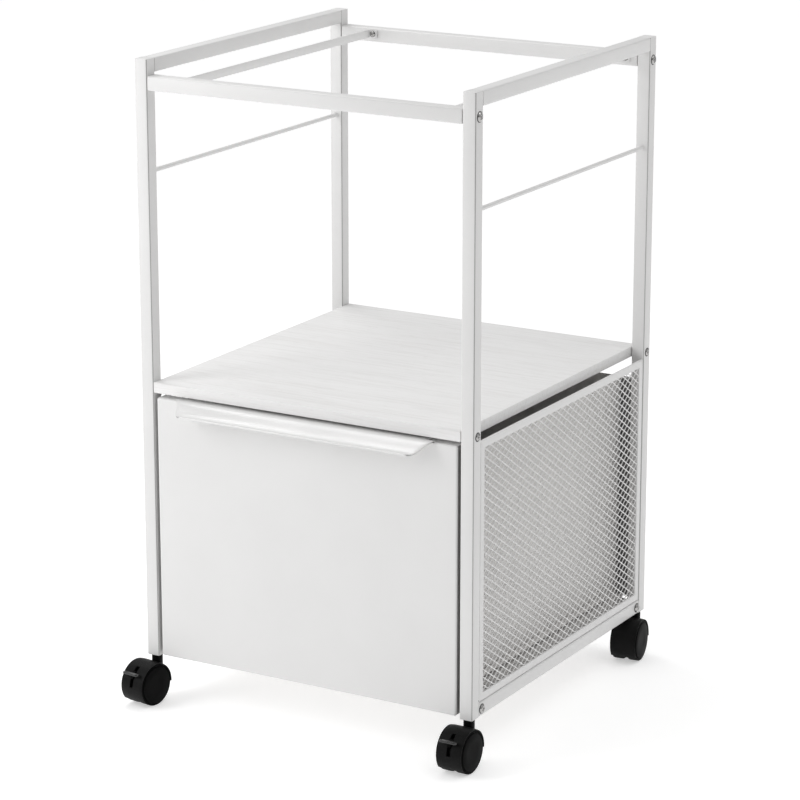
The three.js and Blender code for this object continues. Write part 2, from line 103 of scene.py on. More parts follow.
# ---------------------------------------------------------------- materials
class Shader:
    """A Principled material, built node by node."""

    def __init__(self, name, **values):
        self.material = bpy.data.materials.new(name)
        self.material.use_nodes = True
        self.tree = self.material.node_tree
        self.surface = self.tree.nodes["Principled BSDF"]
        self.coordinates = self.tree.nodes.new("ShaderNodeTexCoord").outputs["Object"]
        for socket, value in values.items():
            self.surface.inputs[socket.replace("_", " ")].default_value = value

    def stretched(self, scale):
        mapping = self.tree.nodes.new("ShaderNodeMapping")
        mapping.inputs["Scale"].default_value = scale
        self.tree.links.new(self.coordinates, mapping.inputs["Vector"])
        return mapping.outputs["Vector"]

    def noise(self, scale, detail=2.0, roughness=0.5, distortion=0.0, vector=None):
        node = self.tree.nodes.new("ShaderNodeTexNoise")
        node.inputs["Scale"].default_value = scale
        node.inputs["Detail"].default_value = detail
        node.inputs["Roughness"].default_value = roughness
        node.inputs["Distortion"].default_value = distortion
        self.tree.links.new(vector or self.coordinates, node.inputs["Vector"])
        return node.outputs["Fac"]

    def ramp(self, factor, stops):
        node = self.tree.nodes.new("ShaderNodeValToRGB")
        elements = node.color_ramp.elements
        while len(elements) < len(stops):
            elements.new(0.5)
        for element, (position, colour) in zip(elements, stops):
            element.position = position
            element.color = (*colour, 1)
        self.tree.links.new(factor, node.inputs["Fac"])
        return node.outputs["Color"]

    def range(self, factor, low, high):
        node = self.tree.nodes.new("ShaderNodeMapRange")
        node.inputs["To Min"].default_value = low
        node.inputs["To Max"].default_value = high
        self.tree.links.new(factor, node.inputs["Value"])
        return node.outputs["Result"]

    def multiply(self, first, second):
        node = self.tree.nodes.new("ShaderNodeMix")
        node.data_type = "RGBA"
        node.blend_type = "MULTIPLY"
        node.inputs["Factor"].default_value = 1
        self.tree.links.new(first, node.inputs[6])
        self.tree.links.new(second, node.inputs[7])
        return node.outputs[2]

    def bump(self, height, distance, strength=1.0, base=None):
        node = self.tree.nodes.new("ShaderNodeBump")
        node.inputs["Distance"].default_value = distance
        node.inputs["Strength"].default_value = strength
        self.tree.links.new(height, node.inputs["Height"])
        if base:
            self.tree.links.new(base, node.inputs["Normal"])
        return node.outputs["Normal"]

    def drive(self, socket, output):
        self.tree.links.new(output, self.surface.inputs[socket])


def grey(value, warmth=0.0):
    return (value + warmth, value, value - warmth)


def powder_coat(name, tone, roughness, peel, warmth=0.004):
    """White powder coat: orange peel, a faint mottle in tone and in gloss."""
    shader = Shader(name, Specular_IOR_Level=0.5, Coat_Weight=0.12, Coat_Roughness=0.3)
    mottle = shader.noise(14, detail=3)
    speck = shader.noise(900, detail=1)
    tones = shader.ramp(mottle, [(0.3, grey(tone - 0.018, warmth)), (0.7, grey(tone, warmth))])
    specks = shader.ramp(speck, [(0.28, grey(0.965, 0.003)), (0.36, grey(1.0))])
    shader.drive("Base Color", shader.multiply(tones, specks))
    shader.drive("Roughness", shader.range(shader.noise(40, detail=2), roughness - 0.05, roughness + 0.06))
    orange_peel = shader.noise(420, detail=2, roughness=0.45)
    shader.drive("Normal", shader.bump(orange_peel, peel))
    return shader.material


def wood_melamine(name):
    """White board with a pressed wood grain along X."""
    shader = Shader(name, Specular_IOR_Level=0.45)
    warp = shader.noise(1, detail=3, distortion=0.4, vector=shader.stretched((3.5, 34, 34)))
    along_grain = shader.stretched((14, 260, 260))
    streak = shader.noise(1, detail=5, roughness=0.65, distortion=0.15, vector=along_grain)
    pore = shader.noise(1, detail=2, roughness=0.6, vector=shader.stretched((55, 1100, 1100)))
    tones = [(0.32, grey(0.79, 0.006)), (0.5, grey(0.825, 0.004)), (0.68, grey(0.81, 0.004))]
    broad = shader.ramp(warp, tones)
    fine = shader.ramp(streak, [(0.30, grey(0.925, 0.004)), (0.52, grey(1.0))])
    pores = shader.ramp(pore, [(0.30, grey(0.90, 0.005)), (0.40, grey(1.0))])
    shader.drive("Base Color", shader.multiply(shader.multiply(broad, fine), pores))
    shader.drive("Roughness", shader.range(streak, 0.56, 0.42))
    shallow = shader.bump(streak, 0.00022)
    shader.drive("Normal", shader.bump(pore, 0.00012, base=shallow))
    return shader.material


def moulded_plastic(name, tone, roughness, grain, specular=0.5):
    """Spark-eroded black moulding: fine grain, faint scuffs."""
    shader = Shader(name, Specular_IOR_Level=specular)
    cloud = shader.noise(70, detail=4)
    shader.drive("Base Color", shader.ramp(cloud, [(0.3, grey(tone * 0.8)), (0.75, grey(tone * 1.25))]))
    scuff = shader.noise(1, detail=4, vector=shader.stretched((300, 60, 60)))
    shader.drive("Roughness", shader.range(scuff, roughness - 0.08, roughness + 0.1))
    texture = shader.noise(2600, detail=2, roughness=0.7)
    shader.drive("Normal", shader.bump(texture, grain))
    return shader.material


def plated_metal(name, tone, roughness, scratch):
    """Zinc or nickel plate: rolled streaks along Y and a cloudy bloom."""
    shader = Shader(name, Metallic=1.0)
    bloom = shader.noise(55, detail=4)
    tones = [(0.3, grey(tone * 0.86, 0.004)), (0.7, grey(tone, 0.006))]
    shader.drive("Base Color", shader.ramp(bloom, tones))
    rolled = shader.noise(1, detail=3, vector=shader.stretched((900, 18, 900)))
    shader.drive("Roughness", shader.range(rolled, roughness - 0.06, roughness + 0.1))
    shader.drive("Normal", shader.bump(rolled, scratch))
    return shader.material


def turned_nylon(name):
    """Black nylon with faint turning marks."""
    shader = Shader(name, Specular_IOR_Level=0.35)
    cloud = shader.noise(120, detail=3)
    shader.drive("Base Color", shader.ramp(cloud, [(0.3, grey(0.016)), (0.7, grey(0.028))]))
    shader.drive("Roughness", shader.range(cloud, 0.34, 0.5))
    shader.drive("Normal", shader.bump(shader.noise(1500, detail=2), 0.00002))
    return shader.material


WHITE = powder_coat("white powder coat", 0.74, 0.40, 0.00010)
WHITE_FRONT = powder_coat("white drawer coat", 0.75, 0.36, 0.00005)
WHITE_INNER = powder_coat("white inner coat", 0.74, 0.46, 0.00010, 0.014)
# painted shade: dark colour for the shaded inner face of the rear panel
REAR_PAINTED_SHADE = powder_coat("rear panel painted shade", 0.30, 0.50, 0.00010)
# painted shade: dark colour on the drawer front's side returns, standing in for the shaded reveal beside the
# posts
RETURN_PAINTED_SHADE = powder_coat("painted shade on returns", 0.22, 0.55, 0.00005)
# a darker strip down the front right edge of each post
EDGE_DARK_STRIP = powder_coat("dark edge strip", 0.36, 0.50, 0.00005)
GLOSS_COAT = powder_coat("glossy pull coat", 0.76, 0.20, 0.00002)
BOARD = wood_melamine("white wood grain")
ZINC = plated_metal("zinc plate", 0.52, 0.44, 0.00002)
NICKEL = plated_metal("nickel plate", 0.46, 0.20, 0.000004)
NYLON = turned_nylon("black nylon")
HOOD_PLASTIC = moulded_plastic("black hood plastic", 0.005, 0.38, 0.00012, 0.085)
DISC_PLASTIC = moulded_plastic("black wheel plastic", 0.003, 0.46, 0.00002, 0.035)
# painted shade: near-black for the contact shadow ring under each screw head and the shaded inside of the
# vent holes
PAINTED_SHADE_BLACK = moulded_plastic("painted shade black", 0.03, 0.5, 0.00002, 0.3)
LEVER_PLASTIC = moulded_plastic("black lever plastic", 0.012, 0.20, 0.00001, 0.65)


# ---------------------------------------------------------------- mesh making
def arc(centre, radius, start, end, steps):
    """Points on a circle from start to end, in degrees."""
    points = []
    for i in range(steps + 1):
        angle = math.radians(start + (end - start) * i / steps)
        points.append((centre[0] + radius * math.cos(angle), centre[1] + radius * math.sin(angle)))
    return points


def rounded(low, high, radius, steps=5):
    """Outline of a rectangle with round corners, counter-clockwise."""
    (x0, y0), (x1, y1) = low, high
    return (
        arc((x1 - radius, y0 + radius), radius, -90, 0, steps)
        + arc((x1 - radius, y1 - radius), radius, 0, 90, steps)
        + arc((x0 + radius, y1 - radius), radius, 90, 180, steps)
        + arc((x0 + radius, y0 + radius), radius, 180, 270, steps)
    )


PLANES = {"x": (1, 2, 0), "y": (2, 0, 1), "z": (0, 1, 2)}


def lift(outline, axis, height):
    """A flat outline placed square to an axis, at a height along it."""
    points = []
    for u, v in outline:
        point = [0.0, 0.0, 0.0]
        for place, value in zip(PLANES[axis], (u, v, height)):
            point[place] = value
        points.append(tuple(point))
    return points


def loft(rings, closed=False):
    """Skin over rings with equally many points, capped at both ends or closed on itself."""
    count = len(rings[0])
    vertices = [point for ring in rings for point in ring]
    last = len(rings) if closed else len(rings) - 1
    faces = []
    for i in range(last):
        a, b = i * count, ((i + 1) % len(rings)) * count
        for j in range(count):
            k = (j + 1) % count
            faces.append((a + j, a + k, b + k, b + j))
    if not closed:
        faces.append(tuple(range(count)))
        faces.append(tuple(range(len(vertices) - count, len(vertices))))
    return vertices, faces


def flat(box_low, box_high, axis):
    """A box's corners in the plane square to an axis, and its span along the axis."""
    u, v, t = PLANES[axis]
    return (box_low[u], box_low[v]), (box_high[u], box_high[v]), (box_low[t], box_high[t])


EDGE_STEPS = 3


def edge_steps(edge):
    """(inset, rise) pairs round a quarter circle, for the soft end of a bar."""
    pairs = []
    for i in range(EDGE_STEPS + 1):
        angle = math.pi / 2 * i / EDGE_STEPS
        pairs.append((edge * (1 - math.sin(angle)), edge * (1 - math.cos(angle))))
    return pairs


def bar(low, high, axis, radius, edge, steps=5):
    """A solid bar along an axis with round long edges and soft ends."""
    low_uv, high_uv, (start, end) = flat(low, high, axis)
    rings = []

    def ring(inset, height):
        inner_low = (low_uv[0] + inset, low_uv[1] + inset)
        inner_high = (high_uv[0] - inset, high_uv[1] - inset)
        corner = max(radius - inset, radius * 0.3)
        rings.append(lift(rounded(inner_low, inner_high, corner, steps), axis, height))

    for inset, rise in edge_steps(edge):
        ring(inset, start + rise)
    for inset, rise in reversed(edge_steps(edge)):
        ring(inset, end - rise)
    return loft(rings)


def turned(profile, axis, centre=(0, 0, 0), segments=64, closed=False):
    """A solid of revolution about an axis through centre; the profile is (radius, height) pairs."""
    rings = []
    for radius, height in profile:
        ring = lift(arc((0, 0), radius, 0, 360 * (segments - 1) / segments, segments - 1), axis, height)
        rings.append([tuple(c + p for c, p in zip(centre, point)) for point in ring])
    return loft(rings, closed)


def slab(outline, axis, start, end):
    return loft([lift(outline, axis, start), lift(outline, axis, end)])


def moved(shape, matrix):
    vertices, faces = shape
    return [tuple(matrix @ Vector(v)) for v in vertices], faces


def joined(shapes):
    vertices, faces = [], []
    for shape_vertices, shape_faces in shapes:
        first = len(vertices)
        vertices += shape_vertices
        faces += [tuple(first + i for i in face) for face in shape_faces]
    return vertices, faces


def smooth(mesh, angle=32):
    for polygon in mesh.polygons:
        polygon.use_smooth = True
    mesh.set_sharp_from_angle(angle=math.radians(angle))


def outward(mesh):
    work = bmesh.new()
    work.from_mesh(mesh)
    bmesh.ops.recalc_face_normals(work, faces=work.faces)
    work.to_mesh(mesh)
    work.free()


def settle(obj):
    """Applies an object's modifiers to its mesh."""
    graph = bpy.context.evaluated_depsgraph_get()
    mesh = bpy.data.meshes.new_from_object(obj.evaluated_get(graph))
    obj.modifiers.clear()
    obj.data = mesh


def soften(obj, width, segments=2, angle=40):
    modifier = obj.modifiers.new("bevel", "BEVEL")
    modifier.width = width
    modifier.segments = segments
    modifier.limit_method = "ANGLE"
    modifier.angle_limit = math.radians(angle)
    settle(obj)


def new_object(name, shape):
    mesh = bpy.data.meshes.new(name)
    mesh.from_pydata(shape[0], [], shape[1])
    outward(mesh)
    obj = bpy.data.objects.new(name, mesh)
    bpy.context.scene.collection.objects.link(obj)
    return obj


def dress(obj, material, body, replaced=(), angle=32):
    obj.data.materials.clear()
    obj.data.materials.append(material)
    smooth(obj.data, angle)
    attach(obj, body)
    if replaced:
        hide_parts(*replaced)
    return obj


def piece(name, shape, material, body, replaced=(), soft=0, angle=32):
    obj = new_object(name, shape)
    if soft:
        soften(obj, soft)
    return dress(obj, material, body, replaced, angle)


def cut(obj, shape):
    """Takes a solid away from an object."""
    tool = new_object("cutter", shape)
    modifier = obj.modifiers.new("cut", "BOOLEAN")
    modifier.operation = "DIFFERENCE"
    modifier.solver = "EXACT"
    modifier.object = tool
    settle(obj)
    bpy.data.objects.remove(tool)


def softened_node(node, material, body, width):
    """A CAD sheet-metal part with its sharp folds and edges eased."""
    mesh = frame["nodes"][node].data.copy()
    work = bmesh.new()
    work.from_mesh(mesh)
    bmesh.ops.remove_doubles(work, verts=work.verts, dist=1e-6)
    bmesh.ops.dissolve_limit(work, angle_limit=math.radians(1), verts=work.verts, edges=work.edges)
    work.to_mesh(mesh)
    work.free()
    obj = bpy.data.objects.new(f"{node}_skin", mesh)
    bpy.context.scene.collection.objects.link(obj)
    soften(obj, width)
    return dress(obj, material, body, [node])


# ---------------------------------------------------------------- tube frame
TUBE_RADIUS = 1.9 * MM
TUBE_WALL = 1.2 * MM
SOCKET_DEPTH = 30.5 * MM


def post_shape(node):
    """Square tube, soft at the top, open at the foot round the caster socket."""
    low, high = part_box(node)
    low_uv, high_uv, (foot, top) = flat(low, high, "z")

    def ring(inset, height):
        inner_low = (low_uv[0] + inset, low_uv[1] + inset)
        inner_high = (high_uv[0] - inset, high_uv[1] - inset)
        return lift(rounded(inner_low, inner_high, max(TUBE_RADIUS - inset, 0.4 * MM), 6), "z", height)

    lip = 0.25 * MM
    rings = [ring(TUBE_WALL, foot + SOCKET_DEPTH), ring(TUBE_WALL, foot + lip), ring(TUBE_WALL - lip, foot)]
    rings += [ring(lip, foot), ring(0, foot + lip)]
    rings += [ring(inset, top - rise) for inset, rise in reversed(edge_steps(0.9 * MM))]
    return loft(rings)


def mark_edge(post):
    """A darker strip along the tube's front right edge."""
    post.data.materials.append(EDGE_DARK_STRIP)
    diagonal = Vector((1, -1, 0)).normalized()
    for polygon in post.data.polygons:
        if polygon.normal.dot(diagonal) > 0.95:
            polygon.material_index = 1


def build_frame():
    for side in SIDES:
        for end in ENDS:
            node = f"{side}_{end}_post"
            post = piece(f"{node}_tube", post_shape(node), WHITE, "frame", [node])
            mark_edge(post)
        for rail in ("top_rail", "bottom_rail"):
            node = f"{side}_{rail}"
            low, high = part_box(node)
            shape = bar(low, high, "y", TUBE_RADIUS, 0.3 * MM, 6)
            piece(f"{node}_tube", shape, WHITE, "frame", [node])
        node = f"{side}_guard_rod"
        low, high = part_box(node)
        middle = (low + high) / 2
        radius = (high.z - low.z) / 2
        half = (high.y - low.y) / 2
        flare = 1.6 * MM
        profile = [(radius + 0.9 * MM, -half), (radius + 0.35 * MM, -half + flare * 0.4)]
        profile += [(radius, -half + flare)]
        profile += [(r, -h) for r, h in reversed(profile)]
        shape = turned(profile, "y", tuple(middle), 40)
        piece(f"{node}_bar", shape, WHITE, "frame", [node])
    for node in ("front_crossbar", "rear_crossbar", "lower_front_crossbar", "lower_rear_crossbar"):
        low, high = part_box(node)
        shape = bar(low, high, "x", TUBE_RADIUS, 0.7 * MM, 6)
        piece(f"{node}_tube", shape, WHITE, "frame", [node])


# ---------------------------------------------------------------- welds
def build_welds():
    """Small fillet beads where the rails meet the posts, on the under and inner sides."""
    bead = 1.5 * MM
    shapes = []
    for side, sx in SIDES.items():
        for rail, face in (("top_rail", "low"), ("bottom_rail", "high")):
            low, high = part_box(f"{side}_{rail}")
            z = low.z if face == "low" else high.z
            lean = -1 if face == "low" else 1
            inset = 2.2 * MM
            for y, sy in ((low.y, 1), (high.y, -1)):
                rings = []
                steps = 26
                for i in range(steps + 1):
                    x = low.x + inset + (high.x - low.x - 2 * inset) * i / steps
                    size = bead * (1 + 0.13 * math.sin(i * 2.1))
                    hide = 0.4 * MM
                    points = [(y - sy * hide, z - lean * hide)]
                    points.append((y + sy * size, z - lean * hide))
                    points.append((y + sy * size * 0.62, z + lean * size * 0.24))
                    points.append((y + sy * size * 0.24, z + lean * size * 0.62))
                    points.append((y - sy * hide, z + lean * size))
                    rings.append(lift(points, "x", x))
                shapes.append(loft(rings))
    piece("frame_weld_beads", joined(shapes), WHITE, "frame", angle=70)


# ---------------------------------------------------------------- file rails
def build_file_rails():
    thick, bend = 2.5 * MM, 2.6 * MM
    tab_thick = 2 * MM
    for side in SIDES:
        node = f"{side}_file_rail"
        low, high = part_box(node)
        outline = arc((low.x + bend, low.y + bend), bend, 180, 270, 6)
        outline += [(high.x, low.y), (high.x, low.y + tab_thick)]
        inner = bend - tab_thick
        outline += arc((low.x + thick + inner, low.y + tab_thick + inner), inner, 270, 180, 3)
        outline += arc((low.x + thick + inner, high.y - tab_thick - inner), inner, 180, 90, 3)
        outline += [(high.x, high.y - tab_thick), (high.x, high.y)]
        outline += arc((low.x + bend, high.y - bend), bend, 90, 180, 6)
        shape = slab(outline, "z", low.z, high.z)
        piece(f"{node}_strip", shape, WHITE, "frame", [node], soft=0.45 * MM)


# ---------------------------------------------------------------- screws
# how deep the cross recess is on a head of that diameter
RECESS_DEPTH, RECESS_FOR = 1.7 * MM, 10.5 * MM


def share_of(value):
    """Holds a value between 0 and 1."""
    return max(0.0, min(1.0, value))


def screw_shape(diameter, height, spokes=48, circles=14):
    """A pan head with a cross recess, its seat at 0 and growing along +Z."""
    radius = diameter / 2
    arm, reach = diameter * 0.10, diameter * 0.31
    rings = [lift(arc((0, 0), radius * 0.93, 0, 360 * (spokes - 1) / spokes, spokes - 1), "z", 0)]
    for i in range(circles + 1):
        share = 1 - i / (circles + 0.6)
        ring = []
        for u, v in arc((0, 0), radius * share, 0, 360 * (spokes - 1) / spokes, spokes - 1):
            crown = height * (1 - share ** 2.6) * 0.75 + height * 0.25
            across, along = min(abs(u), abs(v)), max(abs(u), abs(v))
            inside = share_of((arm - across) / (arm * 0.5)) * share_of((reach - along) / (reach * 0.2))
            ring.append((u, v, crown - RECESS_DEPTH * diameter / RECESS_FOR * inside))
        rings.append(ring)
    return loft(rings)


def build_screws():
    """Cross-recess screws, each on a near-black ring that stands out round its head by a narrow margin:
    painted contact shadow under the head.
    """

    def frame_screw(name, centre, direction, diameter, height, turn, ring=0.4 * MM):
        matrix = Matrix.Translation(centre) @ direction.to_track_quat("Z", "Y").to_matrix().to_4x4()
        shape = moved(screw_shape(diameter, height), matrix @ Matrix.Rotation(turn, 4, "Z"))
        piece(name, shape, NICKEL, "frame", angle=50)
        # a thin near-black ring under the head, standing out by ring: painted contact shadow
        inner, outer, thick = diameter * 0.36, diameter / 2 + ring, 0.3 * MM
        section = [(inner, 0), (outer, 0), (outer, thick), (inner, thick)]
        shade_ring = turned(section, "z", segments=48, closed=True)
        piece(f"{name}_washer", moved(shade_ring, matrix), PAINTED_SHADE_BLACK, "frame")

    shelf_low, shelf_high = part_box("shelf_board")
    bar_low, bar_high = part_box("front_crossbar")
    turn = 0.35
    for side, sx in SIDES.items():
        outwards = Vector((sx, 0, 0))
        for end in ENDS:
            low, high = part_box(f"{side}_{end}_post")
            face = high.x if sx > 0 else low.x
            y = (low.y + high.y) / 2
            upper = Vector((face, y, (bar_low.z + bar_high.z) / 2))
            middle = Vector((face, y, (shelf_low.z + shelf_high.z) / 2))
            foot_low, foot_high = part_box(f"lower_{end}_crossbar")
            lower = Vector((face, (foot_low.y + foot_high.y) / 2, (foot_low.z + foot_high.z) / 2))
            name = f"{side}_{end}"
            frame_screw(f"{name}_upper_screw", upper, outwards, 10.6 * MM, 2.7 * MM, turn, 0.55 * MM)
            frame_screw(f"{name}_shelf_screw", middle, outwards, 7.8 * MM, 1.9 * MM, turn + 0.5, 1.1 * MM)
            frame_screw(f"{name}_lower_screw", lower, outwards, 10.2 * MM, 2.7 * MM, turn + 0.9, 0.55 * MM)
            rail_low, rail_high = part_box(f"{side}_file_rail")
            tab_y = rail_low.y + 2 * MM if end == "front" else rail_high.y - 2 * MM
            facing = Vector((0, 1 if end == "front" else -1, 0))
            tab = Vector((rail_low.x + 7.2 * MM, tab_y, (rail_low.z + rail_high.z) / 2))
            frame_screw(f"{name}_rail_screw", tab, facing, 6.4 * MM, 1.8 * MM, turn)
            turn += 0.31
        # a small dark disc in the vent hole near the foot of each front post: painted shade for the hole's
        # shaded inside
        low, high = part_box(f"{side}_front_post")
        face = high.x if sx > 0 else low.x
        vent = (face, low.y + 14.5 * MM, low.z + 19 * MM)
        inner, outer, back, front = 0.2 * MM, 0.75 * MM, -0.3 * MM, 0.06 * MM
        hole_shade = turned([(inner, back), (outer, back), (outer, front), (inner, front)], "x", vent, 24)
        piece(f"{side}_vent_hole", hole_shade, PAINTED_SHADE_BLACK, "frame")


# ---------------------------------------------------------------- shelf
def build_shelf():
    low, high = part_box("shelf_board")
    shape = bar(low, high, "x", 0.9 * MM, 0.6 * MM, 4)
    piece("shelf_board_panel", shape, BOARD, "frame", ["shelf_board"])


# ---------------------------------------------------------------- expanded-metal panels
BORDER = 8.5 * MM
LONG_WAY, SHORT_WAY = 13.7 * MM, 8.8 * MM
STRAND_WIDTH, STRAND_THICK = 1.25 * MM, 0.8 * MM
BOND_LENGTH = 2.0 * MM
STRAND_TILT = math.radians(10)


def border_shape(low, high):
    """A flat frame round the mesh, mitred at its corners."""
    rings = []
    section = rounded((0, low.x), (BORDER, high.x), 0.7 * MM, 3)
    for y, sy in ((low.y, 1), (high.y, -1)):
        for z, sz in ((low.z, 1), (high.z, -1)) if sy > 0 else ((high.z, -1), (low.z, 1)):
            rings.append([(x, y + sy * inwards, z + sz * inwards) for inwards, x in section])
    return loft(rings, closed=True)


def strand_shape(columns, pitch, level, y0, z_low, z_high, x, lean):
    """One zigzag ribbon between two rows of bonds, leaning out of the panel's plane."""
    width = STRAND_WIDTH / 2
    rise, out = width * math.cos(STRAND_TILT), width * math.sin(STRAND_TILT) * lean
    thick_out = STRAND_THICK / 2 * math.cos(STRAND_TILT)
    thick_up = STRAND_THICK / 2 * math.sin(STRAND_TILT) * lean
    rings = []
    for i in range(2 * columns + 1):
        y = y0 + i * pitch / 2
        at_low = (i + level) % 2 == 0
        z = z_low + rise if at_low else z_high - rise
        centre = x + (out if at_low else -out)
        for step in (-BOND_LENGTH / 2, BOND_LENGTH / 2):
            ring = []
            for a, b in ((-1, -1), (1, -1), (1, 1), (-1, 1)):
                ring.append((centre + a * out + b * thick_out, y + step, z + a * rise - b * thick_up))
            rings.append(ring)
    return loft(rings)


def build_mesh_panels():
    for side, sx in SIDES.items():
        node = f"{side}_mesh_panel"
        low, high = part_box(node)
        length = high.y - low.y - 2 * BORDER
        height = high.z - low.z - 2 * BORDER
        columns, rows = round(length / LONG_WAY), 2 * round(height / SHORT_WAY)
        x = (low.x + high.x) / 2
        shapes = [border_shape(low, high)]
        for level in range(rows):
            y0 = low.y + BORDER
            z_low = low.z + BORDER + height * level / rows
            z_high = low.z + BORDER + height * (level + 1) / rows
            shapes.append(strand_shape(columns, length / columns, level, y0, z_low, z_high, x, sx))
        piece(f"{node}_expanded_metal", joined(shapes), WHITE, "frame", [node])


# ---------------------------------------------------------------- drawer
def front_shape():
    """A folded pan with softly rounded face edges and a return all round the back."""
    low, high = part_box("drawer_front")
    edge, skin, lip = 2.2 * MM, 1 * MM, 10 * MM
    rings = []

    def ring(inset, y, corner):
        inner_low, inner_high = (low.z + inset, low.x + inset), (high.z - inset, high.x - inset)
        rings.append(lift(rounded(inner_low, inner_high, corner, 6), "y", y))

    steps = 6
    for i in range(steps + 1):
        angle = math.pi / 2 * i / steps
        inset = edge * (1 - math.sin(angle))
        ring(inset, low.y + edge * (1 - math.cos(angle)), 2.6 * MM - inset * 0.6)
    ring(0, high.y - 0.3 * MM, 2.6 * MM)
    ring(0.3 * MM, high.y, 2.4 * MM)
    ring(lip, high.y, 1.2 * MM)
    ring(lip, high.y - skin, 1.2 * MM)
    ring(skin, high.y - skin, 1.6 * MM)
    ring(skin, low.y + skin, 1.6 * MM)
    return loft(rings)


def pull_shape():
    """The lip: flat on the front's top edge, rolling out and down, its ends sweeping in."""
    low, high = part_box("drawer_pull")
    front_low, front_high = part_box("drawer_front")
    root = front_low.y
    reach = root - low.y
    thick = 2 * MM
    top, drop = high.z, high.z - low.z - thick
    middle, root_half = (low.x + high.x) / 2, (high.x - low.x) / 2
    sweep, corner = 15.5 * MM, 4.5 * MM
    along, across = 64, 26

    def surface(share):
        """(y, z) of the sheet's top face: share -0.4 at the flange, 0 at the root, 1 at the lip."""
        if share < 0:
            return root - share * reach, top
        return root - reach * share, top - drop * (1 - math.cos(math.pi * share)) / 2

    def half_width(share):
        """The ends draw in evenly towards the lip and turn a round corner there."""
        if share < 0:
            return root_half - 9 * MM
        past = max(0.0, share * reach - (reach - corner))
        return root_half - sweep * share - (corner - math.sqrt(max(corner ** 2 - past ** 2, 0)))

    flange = (high.y - root) / reach
    shares = [-flange, -0.02] + [1 - (1 - i / across) ** 1.5 for i in range(across + 1)]
    rings = []
    for i in range(along + 1):
        s = -1 + 2 * i / along
        ring = []
        upper = [(*surface(share), half_width(share)) for share in shares]
        nose_y, nose_z, nose_half = upper[-1]
        rim = []
        for k in range(1, 5):
            angle = math.pi * k / 5
            y = nose_y - thick * 0.35 * math.sin(angle)
            rim.append((y, nose_z - thick * (1 - math.cos(angle)) / 2, nose_half))
        lower = [(y, z - thick, half) for y, z, half in reversed(upper)]
        for y, z, half in upper + rim + lower:
            ring.append((middle + s * half, y, z))
        rings.append(ring)
    return loft(rings)


def build_drawer():
    """The front, the pull and the box; the front's side returns get painted shade, a darker colour for the
    shaded gap beside the posts.
    """
    pan = piece("drawer_front_pan", front_shape(), WHITE_FRONT, "drawer", ["drawer_front"])
    # painted shade on the front's side faces, set back from its face
    pan.data.materials.append(RETURN_PAINTED_SHADE)
    face_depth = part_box("drawer_front")[0].y + 6.5 * MM
    for polygon in pan.data.polygons:
        if polygon.center.y > face_depth and abs(polygon.normal.x) > 0.7:
            polygon.material_index = 1
    soft = 0.35 * MM
    piece("drawer_pull_lip", pull_shape(), GLOSS_COAT, "drawer", ["drawer_pull"], soft)
    for node in ("drawer_tray", "drawer_left_side", "drawer_right_side"):
        softened_node(node, WHITE_INNER, "drawer", 0.22 * MM)


# ---------------------------------------------------------------- rear panel and runners
def build_sheet_metal():
    """The rear panel with painted shade on its inner face (a darker colour, not a real coat), the runners and
    their rollers.
    """
    panel = softened_node("rear_panel", REAR_PAINTED_SHADE, "frame", 0.3 * MM)
    # only the outward rear face keeps the white coat; every other face carries the painted shade
    panel.data.materials.append(WHITE)
    for polygon in panel.data.polygons:
        if polygon.normal.y > 0.5:
            polygon.material_index = 1
    for side in SIDES:
        softened_node(f"{side}_cabinet_runner", WHITE_INNER, "frame", 0.2 * MM)
        softened_node(f"{side}_drawer_runner", WHITE_INNER, "drawer", 0.2 * MM)
        for place in ("front", "rear"):
            node = f"{side}_{place}_roller"
            low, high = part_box(node)
            middle = (low + high) / 2
            radius, half = (high.z - low.z) / 2, (high.x - low.x) / 2
            bore = 2.25 * MM
            profile = [(bore, -half), (radius * 0.55, -half), (radius * 0.6, -half + 0.6 * MM)]
            profile += [(radius * 0.82, -half + 0.6 * MM), (radius * 0.86, -half), (radius - 0.8 * MM, -half)]
            profile += [(radius - 0.2 * MM, -half + 0.3 * MM), (radius, -half + 1 * MM)]
            profile += [(r, -h) for r, h in reversed(profile)]
            shape = turned(profile, "x", tuple(middle), 64, closed=True)
            piece(f"{node}_wheel", shape, NYLON, node, [node])


# ---------------------------------------------------------------- casters
HOOD_RADIUS = 25.7 * MM
HOOD_WALL = 1.25 * MM
HOOD_HALF = 15.4 * MM
HOOD_FROM, HOOD_TO = -38, 184
WEB_HALF = 2.4 * MM
WHEEL_RADIUS = 24 * MM
WHEEL_INNER, WHEEL_WIDTH = 3.2 * MM, 12.6 * MM
WELL_RADIUS, WELL_END = WHEEL_RADIUS + 0.35 * MM, 40 * MM
TRAIL = 19 * MM
NECK_RADIUS = 6.2 * MM
GROOVE_HALF = 2.3 * MM


def round_axle(angle, radius):
    """(y, z) at an angle above the forward horizontal, about the axle."""
    a = math.radians(angle)
    return -radius * math.cos(a), radius * math.sin(a)


def hood_section():
    """Outline of the hood across its width: (x, radius), crowned, with rolled side edges."""
    outer, inner = [], []
    steps = 14
    for i in range(steps + 1):
        share = -1 + 2 * i / steps
        x = HOOD_HALF * share
        fall = 0.55 * MM * abs(share) ** 5
        outer.append((x, HOOD_RADIUS - fall))
        inner.append((x * 0.985, HOOD_RADIUS - HOOD_WALL - fall * 0.4))
    return outer + inner[::-1]


def hood_shape():
    section = hood_section()
    rings = []
    steps = 56
    for i in range(steps + 1):
        angle = HOOD_FROM + (HOOD_TO - HOOD_FROM) * i / steps
        rings.append([(x, *round_axle(angle, radius)) for x, radius in section])
    return loft(rings)


